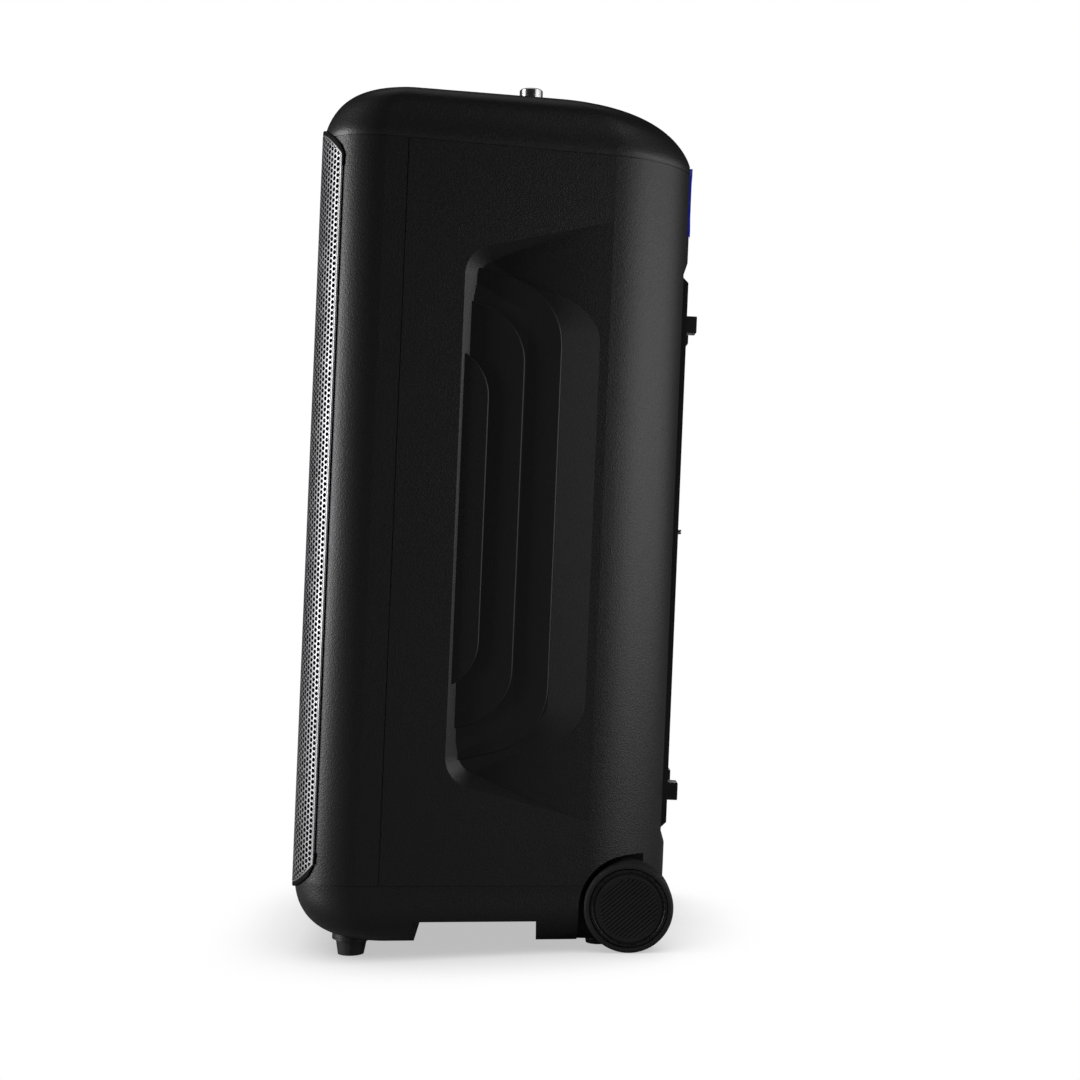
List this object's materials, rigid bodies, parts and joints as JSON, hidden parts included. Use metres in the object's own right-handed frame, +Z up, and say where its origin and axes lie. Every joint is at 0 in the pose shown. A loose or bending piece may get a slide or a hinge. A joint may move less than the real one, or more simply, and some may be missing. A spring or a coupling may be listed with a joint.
{
  "type": "party speaker",
  "caption": "Tall leaning party speaker with a wrapped steel grille, stepped side recesses, rear wheels, a telescopic trolley handle and top controls.",
  "frame": {"origin": "floor level, in the middle of the overall width and depth", "axes": "+Z up, the grille faces -Y, the wheels and trolley are at +Y, X runs along the wheel axle"},
  "size_m": [0.3404, 0.3417, 0.7249],
  "materials": {
    "cabinet_plastic": "moulded black plastic with a fine leather-like grain",
    "insert_plastic": "moulded black plastic, finer grain",
    "inner_plastic": "plain black moulded plastic",
    "grille_steel": "perforated steel sheet, dark satin powder coat",
    "cone_paper": "coated black paper cone with rubber surround",
    "magnet_ferrite": "dark ferrite and steel",
    "light_ring": "milky light guide",
    "blue_light": "blue light guide",
    "gloss_panel": "gloss black control panel",
    "button_plastic": "soft-touch black buttons",
    "knob_metal": "turned metal with a satin chrome finish",
    "screw_steel": "steel",
    "socket_plastic": "black moulded sockets",
    "socket_metal": "plated steel",
    "bumper_rubber": "black rubber",
    "board": "green circuit board",
    "heat_sink_aluminium": "extruded aluminium",
    "battery_wrap": "blue shrink wrap",
    "supply_case": "grey steel case",
    "tube_aluminium": "anodised aluminium tube",
    "tyre_rubber": "black rubber tread",
    "hub_plastic": "moulded black plastic"
  },
  "bodies": {
    "cabinet": {"front_housing": "cabinet_plastic", "rear_housing": "cabinet_plastic", "top_cap": "cabinet_plastic", "bottom_cap": "cabinet_plastic", "left_side_insert": "insert_plastic", "right_side_insert": "insert_plastic", "rear_panel": "insert_plastic", "handle_recess": "insert_plastic", "front_baffle": "inner_plastic", "grille_frame": "inner_plastic", "upper_woofer_basket": "inner_plastic", "lower_woofer_basket": "inner_plastic", "left_tweeter_horn": "inner_plastic", "right_tweeter_horn": "inner_plastic", "bass_port": "inner_plastic", "io_panel": "inner_plastic", "trolley_brackets": "inner_plastic", "grille": "grille_steel", "upper_woofer_cone": "cone_paper", "lower_woofer_cone": "cone_paper", "woofer_magnets": "magnet_ferrite", "tweeter_drivers": "magnet_ferrite", "woofer_light_rings": "light_ring", "handle_light_frame": "blue_light", "control_panel": "gloss_panel", "rear_panel_screws": "screw_steel", "wheel_axle": "screw_steel", "jack_sockets": "socket_plastic", "ac_inlet": "socket_plastic", "usb_socket": "socket_metal", "rear_bumpers": "bumper_rubber", "front_feet": "bumper_rubber", "rear_feet": "bumper_rubber", "amplifier_board": "board", "control_board": "board", "heat_sink": "heat_sink_aluminium", "battery_pack": "battery_wrap", "power_supply": "supply_case", "trolley_sleeves": "tube_aluminium"},
    "right_wheel": {"right_wheel_tyre": "tyre_rubber", "right_wheel_hub": "hub_plastic", "right_wheel_ring": "knob_metal", "right_wheel_cap": "hub_plastic"},
    "left_wheel": {"left_wheel_tyre": "tyre_rubber", "left_wheel_hub": "hub_plastic", "left_wheel_ring": "knob_metal", "left_wheel_cap": "hub_plastic"},
    "trolley": {"trolley_grip": "cabinet_plastic", "trolley_tubes": "tube_aluminium"},
    "release": {"release_button": "button_plastic"},
    "dial": {"volume_dial": "knob_metal"},
    "guitar_knob": {"guitar_volume_knob": "knob_metal"},
    "mic_knob": {"mic_volume_knob": "knob_metal"},
    "lever": {"mode_lever": "knob_metal"},
    "power_key": {"power_button": "button_plastic"},
    "bluetooth_key": {"bluetooth_button": "button_plastic"},
    "previous_key": {"previous_button": "button_plastic"},
    "play_key": {"play_button": "button_plastic"},
    "next_key": {"next_button": "button_plastic"},
    "light_key": {"light_button": "button_plastic"}
  },
  "joints": [
    {"name": "right_wheel_spin", "type": "hinge", "parent": "cabinet", "child": "right_wheel", "pos_m": [0.114, 0.10794, 0.03737], "axis": [1, 0, 0], "continuous": true},
    {"name": "left_wheel_spin", "type": "hinge", "parent": "cabinet", "child": "left_wheel", "pos_m": [-0.114, 0.10794, 0.03737], "axis": [1, 0, 0], "continuous": true},
    {"name": "trolley_slide", "type": "slide", "parent": "cabinet", "child": "trolley", "axis": [0, 0.0414, 0.9991], "range_m": [0, 0.38]},
    {"name": "release_press", "type": "slide", "parent": "trolley", "child": "release", "axis": [0, -0.0414, -0.9991], "range_m": [0, 0.003], "stiffness_N_per_m": 400},
    {"name": "volume_turn", "type": "hinge", "parent": "cabinet", "child": "dial", "pos_m": [0, 0.0015, 0.71535], "axis": [0, 0.023, 0.9997], "continuous": true},
    {"name": "guitar_volume_turn", "type": "hinge", "parent": "cabinet", "child": "guitar_knob", "pos_m": [-0.1, 0.02699, 0.71476], "axis": [0, 0.023, 0.9997], "range_deg": [-135, 135]},
    {"name": "mic_volume_turn", "type": "hinge", "parent": "cabinet", "child": "mic_knob", "pos_m": [0.1, 0.02699, 0.71476], "axis": [0, 0.023, 0.9997], "range_deg": [-135, 135]},
    {"name": "mode_toggle", "type": "hinge", "parent": "cabinet", "child": "lever", "pos_m": [-0.016, 0.14762, 0.35059], "axis": [1, 0, 0], "range_deg": [-10, 10]},
    {"name": "power_press", "type": "slide", "parent": "cabinet", "child": "power_key", "axis": [0, -0.023, -0.9997], "range_m": [0, 0.0012], "stiffness_N_per_m": 300},
    {"name": "bluetooth_press", "type": "slide", "parent": "cabinet", "child": "bluetooth_key", "axis": [0, -0.023, -0.9997], "range_m": [0, 0.0012], "stiffness_N_per_m": 300},
    {"name": "previous_press", "type": "slide", "parent": "cabinet", "child": "previous_key", "axis": [0, -0.023, -0.9997], "range_m": [0, 0.0012], "stiffness_N_per_m": 300},
    {"name": "play_press", "type": "slide", "parent": "cabinet", "child": "play_key", "axis": [0, -0.023, -0.9997], "range_m": [0, 0.0012], "stiffness_N_per_m": 300},
    {"name": "next_press", "type": "slide", "parent": "cabinet", "child": "next_key", "axis": [0, -0.023, -0.9997], "range_m": [0, 0.0012], "stiffness_N_per_m": 300},
    {"name": "light_press", "type": "slide", "parent": "cabinet", "child": "light_key", "axis": [0, -0.023, -0.9997], "range_m": [0, 0.0012], "stiffness_N_per_m": 300}
  ]
}
